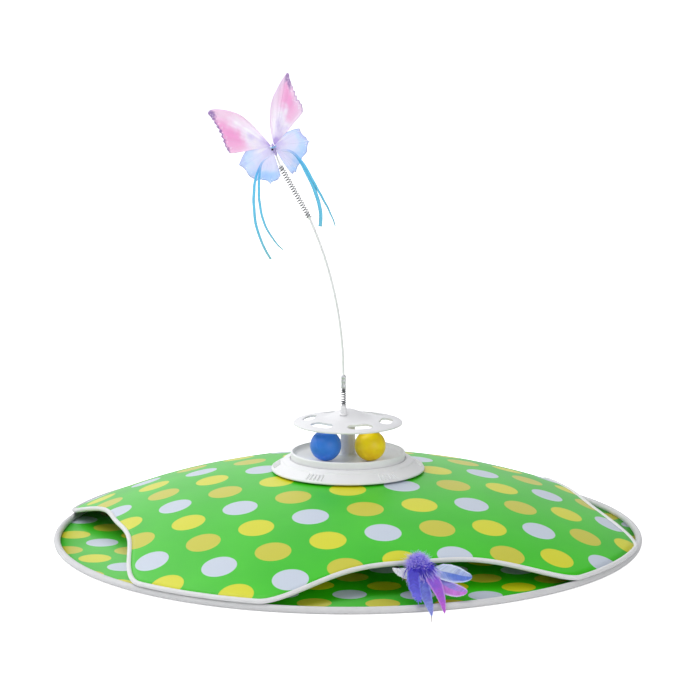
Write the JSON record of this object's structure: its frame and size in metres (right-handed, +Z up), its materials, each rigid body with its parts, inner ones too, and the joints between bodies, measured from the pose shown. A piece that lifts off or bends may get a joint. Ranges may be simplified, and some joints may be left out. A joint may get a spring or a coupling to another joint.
{
  "type": "hide-and-seek cat toy",
  "caption": "Round cat toy: a motor sweeps a feather arm under a scalloped fabric tent and turns a slotted disc with balls below it and a butterfly on a sprung wand above.",
  "frame": {"origin": "middle of the mat's underside, on the floor", "axes": "+Z up; the side with the feather tuft faces -Y, turned 16 degrees towards +X"},
  "size_m": [0.5999, 0.6302, 0.4749],
  "materials": {
    "printed_fabric": "printed satin fabric",
    "white_piping": "matte",
    "white_plastic": "satin",
    "grey_plastic": "matte",
    "pale_plastic": "matte",
    "black_plastic": "matte",
    "orange_plastic": "matte",
    "steel": "satin",
    "white_wire": "gloss",
    "brass": "satin",
    "cell_sleeve": "gloss",
    "board": "matte",
    "blue_ball": "gloss",
    "yellow_ball": "gloss",
    "wing_pink": "printed film",
    "wing_lilac": "printed film",
    "dark_body": "matte",
    "ribbon": "satin",
    "feather_blue": "matte",
    "feather_pink": "matte",
    "feather_pale": "matte"
  },
  "bodies": {
    "base": {"ground_mat": "printed_fabric", "mat_piping": "white_piping", "cover": "printed_fabric", "cover_piping": "white_piping", "cover_collar": "printed_fabric", "foot_plate": "pale_plastic", "foot_screws": "steel", "drive_housing": "pale_plastic", "top_shell": "white_plastic", "shell_screws": "steel", "ball_tray": "white_plastic", "spindle_bushes": "brass", "gear_motor": "steel", "motor_bracket": "pale_plastic", "battery_cell": "cell_sleeve", "battery_holder": "black_plastic", "circuit_board": "board", "board_screws": "steel", "tact_switch": "black_plastic", "charging_port": "steel"},
    "power_button": {"power_button": "orange_plastic"},
    "feather_drive": {"feather_rotor": "grey_plastic", "feather_arm": "black_plastic", "feather_ferrule": "steel", "feather_fluff": "feather_blue", "feather_long_blue": "feather_blue", "feather_blue_drape": "feather_blue", "feather_long_pink": "feather_pink", "feather_broad_blue": "feather_blue", "feather_broad_pink": "feather_pink", "feather_short_pale": "feather_pale"},
    "drive_shaft": {"motor_shaft": "steel", "upper_pinion": "brass", "lower_pinion": "brass"},
    "turntable": {"spindle": "steel", "spindle_gear": "pale_plastic", "turntable": "white_plastic", "wand_socket": "white_plastic", "wand_base_spring": "steel"},
    "wand": {"wand_ferrule": "steel", "wand_wire": "white_wire", "wand_tip_spring": "steel"},
    "butterfly": {"butterfly_stem": "steel", "butterfly_body": "dark_body", "wing_upper_left": "wing_pink", "wing_upper_right": "wing_pink", "wing_lower_left": "wing_lilac", "wing_lower_right": "wing_lilac", "ribbon_left_outer": "ribbon", "ribbon_left_inner": "ribbon", "ribbon_right_inner": "ribbon", "ribbon_right_outer": "ribbon"},
    "blue_ball": {"blue_ball": "blue_ball"},
    "yellow_ball": {"yellow_ball": "yellow_ball"}
  },
  "joints": [
    {"name": "feather_sweep", "type": "hinge", "parent": "base", "child": "feather_drive", "pos_m": [0, 0, 0.0125], "axis": [0, 0, 1], "continuous": true, "deforming": ["feather_fluff", "feather_long_blue", "feather_blue_drape", "feather_long_pink", "feather_broad_blue", "feather_broad_pink", "feather_short_pale"]},
    {"name": "turntable_spin", "type": "hinge", "parent": "base", "child": "turntable", "pos_m": [0, 0, 0.1], "axis": [0, 0, 1], "continuous": true},
    {"name": "motor_shaft_spin", "type": "hinge", "parent": "base", "child": "drive_shaft", "pos_m": [0, 0.03, 0.03], "axis": [0, 0, 1], "continuous": true},
    {"name": "wand_sway", "type": "hinge", "parent": "turntable", "child": "wand", "pos_m": [-0.0045, -0.012, 0.1487], "axis": [0, 1, 0], "range_deg": [-35, 35], "stiffness_Nm_per_rad": 0.3, "deforming": ["wand_base_spring"]},
    {"name": "butterfly_flutter", "type": "hinge", "parent": "wand", "child": "butterfly", "pos_m": [-0.0529, -0.012, 0.3571], "axis": [0, 1, 0], "range_deg": [-30, 30], "stiffness_Nm_per_rad": 0.06, "deforming": ["wand_tip_spring"]},
    {"name": "blue_ball_roll", "type": "hinge", "parent": "base", "child": "blue_ball", "pos_m": [0, 0, 0.1021], "axis": [0, 0, 1], "range_deg": [-115, 12]},
    {"name": "yellow_ball_roll", "type": "hinge", "parent": "base", "child": "yellow_ball", "pos_m": [0, 0, 0.1021], "axis": [0, 0, 1], "range_deg": [-12, 115]},
    {"name": "button_press", "type": "slide", "parent": "base", "child": "power_button", "axis": [0, -1, 0], "range_m": [0, 0.0012], "stiffness_N_per_m": 400}
  ],
  "couplings": [
    {"joint": "motor_shaft_spin", "follows": "feather_sweep", "ratio": -3},
    {"joint": "turntable_spin", "follows": "feather_sweep", "ratio": 0.75}
  ]
}
